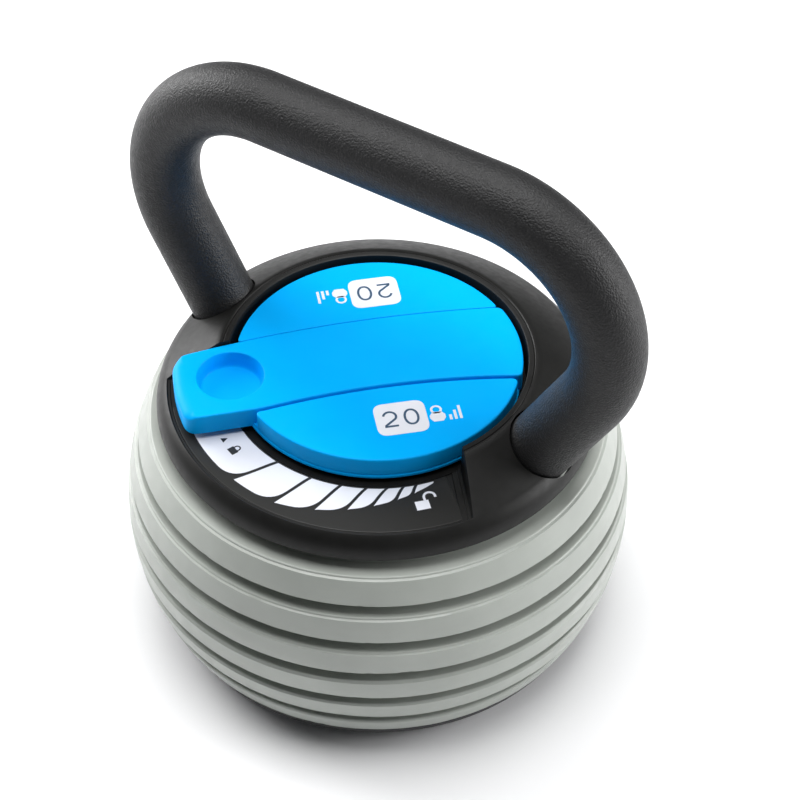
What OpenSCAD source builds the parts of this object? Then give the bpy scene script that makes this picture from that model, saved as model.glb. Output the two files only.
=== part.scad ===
// Adjustable plate kettlebell. Millimetres, +Z up, origin at the centre of the underside.
// The handle stands in the XZ plane. The dial lever lies over the lock end of its recess.

/* [Body] */
// Largest diameter of the stack of plates
body_d = 210; // [200:1:220]
// Height of the middle of the ball shape above the floor
body_mid_z = 57; // [54:1:60]
// Height of the base, from the floor to the underside of the lowest plate
base_h = 12.5; // [12:0.5:14]

/* [Plates] */
// Height that one plate takes up in the stack
plate_pitch = 16.25; // [15.5:0.25:17]
// Height of the outer rim of a plate
rim_h = 10.8; // [10:0.2:12]
// Depth of the groove between two rims
groove_depth = 5.4; // [4:0.2:7]
// Mass of one plate in kilograms
plate_mass = 1.134; // [1:0.01:1.3]

/* [Handle] */
// Diameter of the handle tube
tube_d = 28; // [26:0.5:30]
// Wall of the handle tube
tube_wall = 2; // [2:0.1:3]
// Height of the grip's centreline above the floor
grip_z = 235; // [225:1:240]
// Half the distance between the legs where they enter the cap
foot_x = 76.2; // [74:0.5:78]
// Half the distance between the corners that the legs and the grip point at
corner_x = 136.3; // [130:0.5:140]
// Bend radius of the handle tube
bend_r = 51.25; // [45:0.5:55]

/* [Cap] */
// Radius of the cap's side
cap_r = 89.6; // [88:0.1:90]
// Radius of the round well that holds the dial
well_r = 60.2; // [59.8:0.1:61]
// Radius of the recess that the lever swings in
recess_r = 85.2; // [84.5:0.1:85.3]

/* [Dial] */
// Radius of the dial
dial_r = 57.2; // [56:0.1:58]
// Radius to the end of the lever
lever_r = 82; // [80:0.5:82.5]
// Direction of the lever at the lock end, in degrees from +X
lever_angle = 223.5; // [220:0.5:226]
// Radius of the thumb dimple
dimple_r = 13.2; // [11:0.2:14]
// Depth of the thumb dimple
dimple_depth = 6.5; // [4:0.5:7]

/* [Hidden] */
$fn = 96;
eps = 0.02;
plate_count = 6;

// Colours
iron_black = [0.05, 0.05, 0.05];
plate_grey = [0.80, 0.82, 0.79];
steel = [0.60, 0.61, 0.63];
black = [0.09, 0.09, 0.09];
blue = [0.0, 0.45, 0.90];
label_white = [0.90, 0.90, 0.94];

// Heights, from the floor up
foot_h = 2.5;                                        // rubber ring
stack_top = base_h + plate_count * plate_pitch;      // top of the highest plate
cap_plate_z = stack_top + 1.5;
cap_plate_t = 2.6;
cap_plate_top = cap_plate_z + cap_plate_t;
wire_z = stack_top + 5.6;                            // centre of the latch wire
floor_t = 2.2;
floor_z = stack_top + 9.4;                           // floor of the well and the recess
skirt_z = stack_top + 0.3;                           // lower edge of the cap
dial_bottom = floor_z + 2.2;
dial_disc_t = 2.4;
dial_top = stack_top + 21.6;
lever_bottom = floor_z + 2.7;
spindle_top = stack_top + 16.5;

// Spindle and hub
spindle_r = 9.5;
neck_r = 6.4;
wire_r = 1.1;
wire_x = 7.6;
bush_bore_r = 9.8;
bush_r = 12.5;
plate_bore_r = 10.2;
plate_hub_r = 28;
peg_r = 2;
peg_at = 19;

// Legs of the handle
lean = atan((corner_x - foot_x) / (grip_z - 124.4)); // from the vertical
bend_start = bend_r * tan((90 + lean) / 2);          // from the corner, along the leg
bend_cx = corner_x - bend_start;
bend_cz = grip_z - bend_r;

// Points on a circle in a plane, from angle a0 to a1
function arc(cx, cy, r, a0, a1, n) =
    [for (i = [0:n]) let (a = a0 + (a1 - a0) * i / n) [cx + r * cos(a), cy + r * sin(a)]];

// Radius of the ball shape at a height above the floor
function ball_r(z) = sqrt(pow(body_d / 2, 2) - pow(z - body_mid_z, 2));

// ---------------------------------------------------------------- base

module base_foot() {
    color(black) difference() {
        union() {
            cylinder(r = 82, h = foot_h);
            translate([0, 0, foot_h - eps]) cylinder(r = 80, h = 1.2 + eps);
        }
        translate([0, 0, -1]) cylinder(r = 74, h = 6);
    }
}

// A shallow dish, open below, with a hub that holds the spindle
module base_plate() {
    rim = ball_r(base_h) - 1.4;
    round_r = 8.5;
    top = base_h - 0.3;
    web = top - 2.4;
    outline = concat(
        [[16.2, base_h - 3.5], [16.2, base_h], [30, base_h], [30.3, top], [rim, top]],
        arc(rim - round_r, top - 0.8, round_r, 0, -90, 8),
        [[80.3, foot_h], [80.3, foot_h + 1.4], [73.7, foot_h + 1.4], [75.5, web],
         [27, web], [25, 3.5], [12.4, 3.5], [12.4, 7.3], [5.4, 7.3], [5.4, base_h - 3.5]]);
    color(iron_black) rotate_extrude() polygon(outline);
}

module spindle() {
    neck_z = [wire_z - 1.7, wire_z - 1.4, wire_z + 1.4, wire_z + 2.6];
    outline = [
        [0, base_h - 3.5], [16, base_h - 3.5], [16, base_h], [spindle_r, base_h],
        [spindle_r, neck_z[0]], [neck_r, neck_z[1]], [neck_r, neck_z[2]], [spindle_r, neck_z[3]],
        [spindle_r, spindle_top - 3], [spindle_r - 3, spindle_top], [0, spindle_top]];
    color(steel) difference() {
        rotate_extrude() polygon(outline);
        cylinder(r = 5.05, h = 38);
    }
}

module spindle_washer() {
    color(steel) translate([0, 0, 5.8]) difference() {
        cylinder(r = 11, h = 1.5);
        translate([0, 0, -1]) cylinder(r = 5.3, h = 4);
    }
}

module spindle_bolt() {
    color(steel) difference() {
        union() {
            translate([0, 0, 2.8]) cylinder(r = 8.5, h = 3);
            translate([0, 0, 5.7]) cylinder(r = 5, h = 30);
        }
        translate([0, 0, 2]) cylinder(r = 3.4, h = 3, $fn = 6);
    }
}

// ---------------------------------------------------------------- plates

// A dished casting: hub, web, stepped wall and rim. The web is as thick as the mass asks for.
function plate_z(k) = base_h + (plate_count - k) * plate_pitch;

module plate(k) {
    z0 = plate_z(k);
    rim_t = 5;
    shelf_t = 4;
    wall = 4;
    edge_r = 1.6;
    web_top = plate_pitch - 0.3;
    upper_r = ball_r(z0 + rim_h) - 0.5;
    lower_r = ball_r(z0);
    land_r = upper_r - groove_depth;
    shelf_z = rim_h - shelf_t;
    band_r = ball_r(z0 + shelf_z) - rim_t;
    // volumes in cubic millimetres
    total = plate_mass / 7.85e-6;
    hub = PI * (pow(plate_hub_r, 2) - pow(plate_bore_r, 2)) * plate_pitch;
    step = PI * (pow(land_r, 2) - pow(land_r - wall, 2)) * (web_top - shelf_z);
    shelf = PI * (pow(upper_r, 2) - pow(land_r, 2)) * shelf_t;
    band = 2 * PI * (lower_r - rim_t / 2) * rim_t * shelf_z;
    web_t = (total - hub - step - shelf - band) /
            (PI * (pow(land_r - wall, 2) - pow(plate_hub_r, 2)));
    side_steps = 5;
    outline = concat(
        [[plate_bore_r, 0], [plate_hub_r, 0], [plate_hub_r + 0.6, web_top - web_t],
         [land_r - wall, web_top - web_t], [land_r - wall, shelf_z], [band_r, shelf_z],
         [lower_r - rim_t, 0]],
        [for (i = [0:side_steps]) let (z = (rim_h - edge_r) * i / side_steps) [ball_r(z0 + z), z]],
        arc(upper_r - edge_r, rim_h - edge_r, edge_r, 20, 90, 3),
        [[land_r, rim_h], [land_r, web_top - 0.6], [land_r - 0.6, web_top],
         [plate_hub_r, web_top], [plate_hub_r - 0.5, plate_pitch],
         [plate_bore_r + 0.6, plate_pitch], [plate_bore_r, plate_pitch - 0.6]]);
    color(plate_grey) translate([0, 0, z0]) rotate_extrude() polygon(outline);
}

// ---------------------------------------------------------------- handle

module ring(outer, inner, h) {
    linear_extrude(h) difference() {
        circle(r = outer);
        circle(r = inner);
    }
}

module above(z) {
    translate([-150, -60, z]) cube([300, 120, 200]);
}

// One half of the handle, on the +X side: half the grip, the bend and the leg, end to end
module half_tube(outer, inner, leg_below) {
    translate([0, 0, grip_z]) rotate([0, 90, 0]) ring(outer, inner, bend_cx);
    translate([bend_cx, 0, bend_cz]) {
        rotate([90, 0, 0]) intersection() {
            rotate_extrude() translate([bend_r, 0]) difference() {
                circle(r = outer);
                circle(r = inner);
            }
            translate([0, 0, -30]) linear_extrude(60)
                polygon([[0, 0], [0, 100], [100, 100], 100 * [cos(lean), -sin(lean)]]);
        }
        intersection() {
            rotate([0, lean, 0]) translate([bend_r, 0, -leg_below]) ring(outer, inner, leg_below);
            translate([-bend_cx, 0, -bend_cz]) above(cap_plate_top);
        }
    }
}

module handle_tube() {
    for (side = [0, 1]) mirror([side, 0, 0])
        color(black) half_tube(tube_d / 2, tube_d / 2 - tube_wall, 75);
}

// Places the children at both feet, leaning with the legs, at the top of the cap plate
module at_feet() {
    foot_bottom_x = foot_x - (124.4 - cap_plate_top) * tan(lean);
    for (side = [0, 1]) mirror([side, 0, 0]) translate([foot_bottom_x, 0, cap_plate_top]) children();
}

screw_offset = 3.4; // the upright screw stands off the leaning leg's axis
module handle_plugs() {
    color(steel) difference() {
        intersection() {
            at_feet() rotate([0, lean, 0]) translate([0, 0, -20])
                cylinder(r = tube_d / 2 - tube_wall - 0.1, h = 46);
            above(cap_plate_top);
        }
        at_feet() translate([screw_offset, 0, -1]) cylinder(r = 4.05, h = 15.5);
    }
}

module handle_screws() {
    color(steel) at_feet() translate([screw_offset, 0, -cap_plate_t + 0.1]) difference() {
        union() {
            cylinder(r1 = 7.2, r2 = 4, h = 2.4);
            cylinder(r = 4, h = 16);
        }
        translate([0, 0, -1]) cylinder(r = 2.4, h = 3, $fn = 6);
    }
}

// ---------------------------------------------------------------- cap

shoulder_r = 11;
shoulder_z = skirt_z + 1;
dome_angle = 58.8;
ledge_h = 0.4; // step round the recess, above its floor
wall_t = 2.6;
lip_z = stack_top + 22.9;
lip_r = 64.2; // where the lip turns down into the dome

// Outer surface of the cap from the lower edge up to the lip
function cap_curve(inset) = concat(
    [[cap_r - inset, shoulder_z]],
    arc(cap_r - shoulder_r, shoulder_z, shoulder_r - inset, 0, dome_angle, 7));

// Rounded lip of the well
function lip() = [[lip_r, lip_z], [well_r + 0.7, lip_z - 0.2], [well_r, lip_z - 0.9]];

module cap_skin_profile() {
    inner = cap_curve(wall_t);
    polygon(concat(
        [[cap_r - wall_t, skirt_z], [cap_r, skirt_z]],
        cap_curve(0), lip(),
        [[well_r, floor_z], [24, floor_z], [24, floor_z - floor_t],
         [lip_r + 0.6, floor_z - floor_t], [lip_r + 0.6, lip_z - 3.2]],
        [for (i = [len(inner) - 1:-1:0]) inner[i]]));
}

module cap_solid_profile() {
    polygon(concat([[well_r, skirt_z], [cap_r, skirt_z]], cap_curve(0), lip()));
}

// Far edge of the lever in the dial's own frame: u along the lever, n across it
function far_edge(u) = 22.5 - pow(u - 5, 2) / 940;
function near_edge(u) = u > -50 ? -16 - pow(u, 2) / 600 : -20.17 + 0.03 * (u + 50);

// End wall of the recess: a straight wall from the well to the outer wall
end_a = [55.8, -25.7];
end_b = [72.4, -44.7];
end_dir = (end_b - end_a) / norm(end_b - end_a);
end_normal = [end_dir[1], -end_dir[0]];

// Plan of the recess. grow widens it all round; back keeps it clear of the end wall.
module recess_plan(grow, back) {
    a = end_a - 30 * end_dir + (back - grow) * end_normal;
    b = end_b + 30 * end_dir + (back - grow) * end_normal;
    intersection() {
        difference() {
            circle(r = recess_r + grow);
            circle(r = well_r - 6);
        }
        union() {
            intersection() {
                polygon([[0, 0], 150 * [cos(lever_angle), sin(lever_angle)], [0, -160], [130, -130], b, a]);
                translate([-120, -120]) square([240, 120]);
            }
            rotate(lever_angle - 180) lock_corner_plan(grow);
        }
    }
}

module lock_corner_plan(grow) {
    gap = 1.2;
    polygon(concat([[-40, 0], [-100, 0]],
                   [for (u = [-100:10:-40]) [u, far_edge(u) + gap + grow]]));
}

screw_ring = 70; // radius of the ring of cap screws
module cap_shell() {
    pillar_h = floor_z - floor_t - cap_plate_top + eps;
    color(black) difference() {
        union() {
            rotate_extrude() cap_skin_profile();
            intersection() {
                rotate_extrude() cap_solid_profile();
                translate([0, 0, floor_z - floor_t]) linear_extrude(40) recess_plan(2.2, 0);
            }
            // pillars: under the recess floor, under the dome, and one that the latch wire hooks on
            translate([0, 0, cap_plate_top]) {
                at_angles([235, 305], screw_ring) cylinder(r = 4.5, h = pillar_h);
                at_angles([55, 125], screw_ring) cylinder(r = 4.5, h = pillar_h + 8);
                at_angles([90], 34) cylinder(r = 5, h = pillar_h);
            }
        }
        // recess down to a small step at the end wall, then down to the floor
        translate([0, 0, floor_z + ledge_h]) linear_extrude(40) recess_plan(0, 0);
        translate([0, 0, floor_z]) linear_extrude(40) recess_plan(-1.2, 4);
        // the legs of the handle pass through with a thin gap
        at_feet() rotate([0, lean, 0]) translate([0, 0, -30]) cylinder(r = tube_d / 2 + 0.6, h = 80);
        translate([0, 0, cap_plate_top - 1]) at_cap_screws() cylinder(r = 1.75, h = 5);
    }
}

module at_angles(angles, radius) {
    for (a = angles) rotate(a) translate([radius, 0, 0]) children();
}

module at_cap_screws() {
    at_angles([55, 125, 235, 305], screw_ring) children();
}

module cap_plate() {
    color(steel) difference() {
        translate([0, 0, cap_plate_z]) cylinder(r = 85.2, h = cap_plate_t);
        translate([0, 0, cap_plate_z - 1]) cylinder(r = bush_r, h = 6);
        translate([0, 0, cap_plate_z - eps]) at_cap_screws() {
            cylinder(r1 = 4.2, r2 = 2, h = 2.2);
            cylinder(r = 2, h = 6);
        }
        at_feet() translate([screw_offset, 0, -cap_plate_t - eps]) {
            cylinder(r1 = 7.4, r2 = 4.3, h = 2.6);
            cylinder(r = 4.3, h = 6);
        }
    }
}

module cap_screws() {
    color(steel) translate([0, 0, cap_plate_z + 0.1]) at_cap_screws() {
        cylinder(r1 = 4, r2 = 1.7, h = 2);
        cylinder(r = 1.7, h = 6);
    }
}

// Flanged steel bush: the plate's centre, the spindle's guide and the dial's pivot
module hub_bush() {
    ring_z = dial_top - 5.6;
    outline = [
        [bush_bore_r + 0.8, stack_top], [24, stack_top], [24, cap_plate_z], [bush_r - 0.05, cap_plate_z],
        [bush_r - 0.05, ring_z], [bush_r - 1.1, ring_z], [bush_r - 1.1, ring_z + 1.3],
        [bush_r - 0.05, ring_z + 1.3], [bush_r - 0.05, ring_z + 2.3], [bush_r - 0.6, ring_z + 2.8],
        [bush_bore_r, ring_z + 2.8], [bush_bore_r, stack_top + 0.8]];
    color(steel) difference() {
        rotate_extrude() polygon(outline);
        // slots that the two legs of the latch wire close through
        for (side = [0, 1]) mirror([side, 0, 0])
            translate([wire_x - wire_r - 0.2, -20, wire_z - 1.3]) cube([20, 40, 2.6]);
    }
}

module scale_label() {
    label_t = 0.3;
    color(label_white) translate([0, 0, floor_z]) linear_extrude(label_t) intersection() {
        recess_plan(-1.6, 5);
        difference() {
            circle(r = recess_r - 1.8);
            circle(r = 60.5);
        }
    }
}

// Hairpin of spring wire: its legs close on the neck of the spindle, its bend sits on a pillar
module latch_spring() {
    leg_y0 = -30;
    bend_y = 34;
    color(steel) translate([0, 0, wire_z]) {
        for (side = [-1, 1]) translate([side * wire_x, leg_y0, 0]) rotate([-90, 0, 0])
            cylinder(r = wire_r, h = bend_y - leg_y0, $fn = 24);
        translate([0, bend_y, 0]) rotate_extrude(angle = 180) translate([wire_x, 0])
            circle(r = wire_r, $fn = 24);
    }
}

module thrust_washer() {
    color(label_white) translate([0, 0, floor_z]) difference() {
        cylinder(r = 36, h = dial_bottom - floor_z);
        translate([0, 0, -1]) cylinder(r = 26, h = dial_bottom - floor_z + 2);
    }
}

module retaining_ring() {
    color(steel) translate([0, 0, dial_top - 5.5]) difference() {
        cylinder(r = 14.6, h = 1.1);
        translate([0, 0, -1]) cylinder(r = bush_r - 1, h = 4);
        translate([0, -3, -1]) cube([25, 6, 4]);
    }
}

// ---------------------------------------------------------------- dial

skin_t = 2.6;
side_t = 2.4;

// Plan of the bar that crosses the dial and reaches out as the lever. inset shrinks it.
module lever_plan(inset) {
    ends = [-lever_r - 4, dial_r + 4];
    steps = 14;
    intersection() {
        polygon(concat(
            [for (i = [0:steps]) let (u = ends[0] + (ends[1] - ends[0]) * i / steps)
                [u, near_edge(u) + inset]],
            [for (i = [steps:-1:0]) let (u = ends[0] + (ends[1] - ends[0]) * i / steps)
                [u, far_edge(u) - inset]]));
        union() {
            circle(r = dial_r - inset);
            intersection() {
                circle(r = lever_r - inset);
                translate([-100, -50]) square([90, 100]);
            }
        }
    }
}

// Rounds the two outer corners of the lever
module lever_corners(inset) {
    corner = 5;
    for (side = [-1, 1]) {
        edge = side > 0 ? far_edge(-74) - inset : near_edge(-74) + inset;
        translate([-77.5 + inset, edge - side * corner]) difference() {
            translate([-8, side > 0 ? 0 : -8]) square([8, 8]);
            circle(r = corner);
        }
    }
}

// The lever is hollow below; its hollow over the disc is closed by the disc
module lever_hollow() {
    ceiling = dial_top - skin_t;
    disc_top = dial_bottom + dial_disc_t;
    difference() {
        union() {
            translate([0, 0, disc_top]) linear_extrude(ceiling - disc_top) lever_plan(side_t);
            translate([0, 0, lever_bottom - 1]) linear_extrude(ceiling - lever_bottom + 1)
                difference() {
                    lever_plan(side_t);
                    circle(r = dial_r + 2);
                }
        }
        translate([dimple_u, 0, 0]) cylinder(r = dimple_r + side_t, h = 200);
        cylinder(r = hub_r, h = 200);
    }
}

dimple_u = -59.4; // centre of the thumb dimple along the lever
hub_r = 23;       // boss of the dial that turns on the hub bush
module dial_body() {
    hub_bottom = floor_z - floor_t;
    ring_pocket_z = dial_top - 6;
    color(blue) difference() {
        union() {
            translate([0, 0, dial_bottom]) cylinder(r = dial_r + 1.2, h = 1.6);
            translate([0, 0, dial_bottom]) cylinder(r = dial_r - 0.3, h = dial_disc_t);
            translate([0, 0, hub_bottom]) cylinder(r = hub_r, h = dial_bottom + 1 - hub_bottom);
            rotate(lever_angle - 180) difference() {
                translate([0, 0, lever_bottom]) linear_extrude(dial_top - lever_bottom)
                    difference() {
                        lever_plan(0);
                        lever_corners(0);
                    }
                lever_hollow();
            }
            for (side = [-1, 1]) translate([0, side * peg_at, cap_plate_top + 0.5])
                cylinder(r = peg_r, h = floor_z - cap_plate_top);
        }
        translate([0, 0, hub_bottom - 1])
            cylinder(r = bush_r + 0.05, h = ring_pocket_z - hub_bottom + 1.5);
        translate([0, 0, ring_pocket_z]) cylinder(r = 15, h = 6 - skin_t);
        rotate(lever_angle - 180) {
            translate([dimple_u, 0, dial_top - dimple_depth]) cylinder(r = dimple_r, h = 20);
            at_dial_screws() translate([0, 0, dial_bottom - 1]) {
                cylinder(r = 1.8, h = 10);
                cylinder(r = 3.4, h = 2.2);
            }
        }
    }
}

module at_dial_screws() {
    for (u = [-26, 26]) {
        translate([u, -33, 0]) children();
        translate([u, 36, 0]) children();
    }
}

// Half-moon cover beside the lever: side -1 is the near one, +1 the far one
module dial_insert(side) {
    gap = side < 0 ? 1.3 : 0.5;
    bottom = dial_bottom + dial_disc_t;
    color(blue) rotate(lever_angle - 180) difference() {
        union() {
            difference() {
                translate([0, 0, bottom]) linear_extrude(dial_top - bottom)
                    moon_plan(side, gap, 0);
                translate([0, 0, bottom - 1]) linear_extrude(dial_top - skin_t - bottom + 1)
                    moon_plan(side, gap, side_t);
            }
            for (u = [-26, 26]) translate([u, side < 0 ? -33 : 36, bottom])
                cylinder(r = 3.6, h = dial_top - skin_t - bottom + 0.2);
        }
        for (u = [-26, 26]) translate([u, side < 0 ? -33 : 36, bottom - 1])
            cylinder(r = 1.55, h = 6);
    }
}

module moon_plan(side, gap, inset) {
    steps = 12;
    edge = [for (i = [0:steps]) let (u = -64 + 128 * i / steps)
        [u, side < 0 ? near_edge(max(u, -49)) - gap - inset : far_edge(u) + gap + inset]];
    intersection() {
        circle(r = dial_r - inset);
        polygon(concat(edge, [[64, side * 70], [-64, side * 70]]));
    }
}

module dial_screws() {
    color(steel) rotate(lever_angle - 180) at_dial_screws() translate([0, 0, dial_bottom + 0.1]) {
        cylinder(r = 3, h = 1);
        cylinder(r = 1.5, h = 6);
    }
}

base_foot();
base_plate();
spindle();
spindle_washer();
spindle_bolt();
plate(1);  // plate_1
plate(2);  // plate_2
plate(3);  // plate_3
plate(4);  // plate_4
plate(5);  // plate_5
plate(6);  // plate_6
handle_tube();
handle_plugs();
handle_screws();
cap_shell();
cap_plate();
cap_screws();
hub_bush();
scale_label();
latch_spring();
thrust_washer();
retaining_ring();
dial_body();
dial_insert(-1);  // dial_insert_near
dial_insert(1);  // dial_insert_far
dial_screws();
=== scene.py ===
"""Looks of the adjustable kettlebell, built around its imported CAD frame. Lengths below are in millimetres."""
import math
import random

import bpy
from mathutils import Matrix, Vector, noise
from mathutils.geometry import tessellate_polygon


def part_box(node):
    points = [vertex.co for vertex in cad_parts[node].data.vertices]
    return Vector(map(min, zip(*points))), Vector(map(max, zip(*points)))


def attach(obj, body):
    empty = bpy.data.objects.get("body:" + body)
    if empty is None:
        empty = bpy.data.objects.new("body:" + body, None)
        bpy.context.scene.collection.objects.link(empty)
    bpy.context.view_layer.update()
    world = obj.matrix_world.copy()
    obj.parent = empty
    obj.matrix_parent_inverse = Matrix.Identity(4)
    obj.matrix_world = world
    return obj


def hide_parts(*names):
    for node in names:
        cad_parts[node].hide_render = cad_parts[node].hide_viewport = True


MM = 0.001
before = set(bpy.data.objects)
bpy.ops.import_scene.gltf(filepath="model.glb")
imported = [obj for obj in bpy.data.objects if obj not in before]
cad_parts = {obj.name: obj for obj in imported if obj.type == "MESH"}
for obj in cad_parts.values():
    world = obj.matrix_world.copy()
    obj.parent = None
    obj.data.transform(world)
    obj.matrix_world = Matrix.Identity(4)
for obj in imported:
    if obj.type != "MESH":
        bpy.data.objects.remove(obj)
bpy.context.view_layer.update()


def height(node, end):
    """Lowest (end 0) or highest (end 1) point of a CAD node, in millimetres."""
    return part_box(node)[end].z / MM


# Driving heights, from the frame
FLOOR_Z = height("scale_label", 0)        # floor of the well and of the recess
LABEL_TOP = height("scale_label", 1)
DIAL_TOP = height("dial_body", 1)
DIAL_BOTTOM = height("thrust_washer", 1)
STACK_TOP = height("plate_1", 1)
CAP_LOW = height("cap_shell", 0)
CAP_LIP = height("cap_shell", 1)
CAP_PLATE_TOP = height("cap_plate", 1)

# Plan dimensions
BODY_R = 105.0
BODY_MID_Z = 57.0
CAP_R = 89.6
WELL_R = 60.2
LIP_R = 64.2                              # where the lip turns down into the dome
RECESS_R = 85.2
DIAL_R = 57.2
TAIL_R = 58.2                             # the plain end of the lever
LEVER_R = 82.0
LEVER_TURN = math.radians(43.5)           # the lever's own x axis, from +X
DIMPLE_U = -59.4                          # middle of the thumb dimple along the lever
DIMPLE_RIM_R = 13.9
HUB_HOLE_R = 24.0                         # hole in the well's floor, round the dial's hub
FLOOR_T = 2.2
SKIRT_T = 2.6
MOON_TOP = DIAL_TOP - 0.15                # the covers lie just below the lever's top
PLATE_COUNT = 6


# ---------------------------------------------------------------- mesh helpers

def arc(cx, cy, r, a0, a1, n):
    """Points on a circle from angle a0 to a1, in degrees."""
    angles = [math.radians(a0 + (a1 - a0) * i / n) for i in range(n + 1)]
    return [(cx + r * math.cos(a), cy + r * math.sin(a)) for a in angles]


def polar(r, degrees):
    return (r * math.cos(math.radians(degrees)), r * math.sin(math.radians(degrees)))


def rotated(points, angle):
    c, s = math.cos(angle), math.sin(angle)
    return [(x * c - y * s, x * s + y * c) for x, y in points]


def add_piece(name, verts, faces, material, body, replaces=(), smooth=32, parts=None):
    """Makes a mesh piece from millimetre points and hangs it on its CAD body.
    parts are the material index of each face where a piece has more than one material."""
    mesh = bpy.data.meshes.new(name)
    mesh.from_pydata([(x * MM, y * MM, z * MM) for x, y, z in verts], [], faces)
    materials = material if isinstance(material, list) else [material]
    for m in materials:
        mesh.materials.append(m)
    if parts:
        mesh.polygons.foreach_set("material_index", parts)
    mesh.validate()
    mesh.polygons.foreach_set("use_smooth", [True] * len(mesh.polygons))
    mesh.set_sharp_from_angle(angle=math.radians(smooth))
    piece = bpy.data.objects.new(name, mesh)
    bpy.context.scene.collection.objects.link(piece)
    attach(piece, body)
    if replaces:
        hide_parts(*replaces)
    return piece


def grid(rows, cols, closed_rows, closed_cols, start=0):
    """Quads between rows of points. Row i, column j is point start + i * cols + j."""
    faces = []
    for i in range(rows if closed_rows else rows - 1):
        for j in range(cols if closed_cols else cols - 1):
            a, b = i, (i + 1) % rows
            c, d = j, (j + 1) % cols
            low, high = start + a * cols, start + b * cols
            faces.append([low + c, low + d, high + d, high + c])
    return faces


def supported(profile, margin=0.16, least=1.1):
    """Adds points close to both ends of each long straight, so that shading stays flat up to the rounding."""
    out = []
    for p, q in zip(profile, profile[1:] + profile[:1]):
        length = math.hypot(q[0] - p[0], q[1] - p[1])
        out.append(p)
        if length > least:
            for t in (margin / length, 1 - margin / length):
                out.append((p[0] + (q[0] - p[0]) * t, p[1] + (q[1] - p[1]) * t))
    return out


def lathe(profile, segments, shift=None, centre=(0, 0)):
    """Turns a closed profile of (r, z) points, listed anticlockwise, about Z."""
    verts = []
    for i, (r, z) in enumerate(profile):
        for j in range(segments):
            a = 2 * math.pi * j / segments
            dr, dz = shift(i, r, z, a) if shift else (0, 0)
            verts.append((centre[0] + (r + dr) * math.cos(a), centre[1] + (r + dr) * math.sin(a), z + dz))
    faces = [list(reversed(f)) for f in grid(len(profile), segments, True, True)]
    return verts, faces


def area(points):
    return sum(a[0] * b[1] - b[0] * a[1] for a, b in zip(points, points[1:] + points[:1])) / 2


def inward(points):
    """The direction into a plan outline at each of its points, scaled so that an inset keeps its width."""
    sign = 1 if area(points) > 0 else -1
    out = []
    n = len(points)
    for i in range(n):
        p, q, r = Vector(points[i - 1]), Vector(points[i]), Vector(points[(i + 1) % n])
        a, b = (q - p).normalized(), (r - q).normalized()
        na, nb = Vector((-a.y, a.x)) * sign, Vector((-b.y, b.x)) * sign
        m = (na + nb).normalized()
        out.append(m / max(0.45, m.dot(na)))
    return out


def round_corner(points, index, reach, steps=8):
    """Replaces a sharp corner of a closed outline by a smooth curve that starts reach before it."""
    n = len(points)
    corner = Vector(points[index])

    def walk(step):
        left, i, p = reach, index, corner
        while True:
            q = Vector(points[(i + step) % n])
            length = (q - p).length
            if length > left:
                return p + (q - p) * (left / length), (i + step) % n
            left, p, i = left - length, q, i + step

    a, before = walk(-1)
    b, after = walk(1)
    curve = []
    for k in range(steps + 1):
        t = k / steps
        curve.append(tuple(a * (1 - t) ** 2 + corner * 2 * t * (1 - t) + b * t ** 2))
    kept = []
    i = after
    while True:
        kept.append(points[i])
        if i == before:
            break
        i = (i + 1) % n
    return curve + kept


def nearest(points, target):
    return min(range(len(points)),
               key=lambda i: (points[i][0] - target[0]) ** 2 + (points[i][1] - target[1]) ** 2)


def round_at(points, target, reach):
    return round_corner(points, nearest(points, target), reach)


def prism(outline, z0, z1, edge=0.5, edge_at=None, low_edge=0.3, steps=4, hole=None, start=0):
    """A plate with a rounded top edge. edge_at(x, y) gives (width, height) of that rounding where it varies.
    hole is a ring of plan points left open in the top. Returns points, faces and the hole's point numbers."""
    points = outline if area(outline) > 0 else outline[::-1]
    into = inward(points)
    widths = [edge_at(*p) if edge_at else (edge, edge) for p in points]
    rings = [[(low_edge, 0, z0)] * len(points), [(0, low_edge, z0)] * len(points)]
    for k in range(steps + 1):
        a = math.pi / 2 * k / steps
        rings.append([(w * (1 - math.cos(a)), -h * (1 - math.sin(a)), z1) for w, h in widths])
    rings.append([(w + 0.35, 0, z1) for w, h in widths])
    verts = []
    for ring in rings:
        for p, m, (inset, dz, z) in zip(points, into, ring):
            verts.append((p[0] + m.x * inset, p[1] + m.y * inset, z + dz))
    n = len(points)
    faces = grid(len(rings), n, False, True, start)
    faces.append([start + i for i in range(n - 1, -1, -1)])
    top = [len(verts) - n + i for i in range(n)]
    if hole is None:
        faces.append([start + i for i in top])
        return verts, faces, []
    first = len(verts)
    verts += [(x, y, z1) for x, y in hole]
    loops = [[Vector(verts[i]) for i in top], [Vector((x, y, z1)) for x, y in hole]]
    numbers = top + list(range(first, first + len(hole)))
    for tri in tessellate_polygon(loops):
        a, b, c = (Vector(verts[numbers[i]]) for i in tri)
        tri = tri if (b - a).cross(c - a).z > 0 else tri[::-1]
        faces.append([start + numbers[i] for i in tri])
    return verts, faces, [start + first + i for i in range(len(hole))]


# ---------------------------------------------------------------- materials

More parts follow.
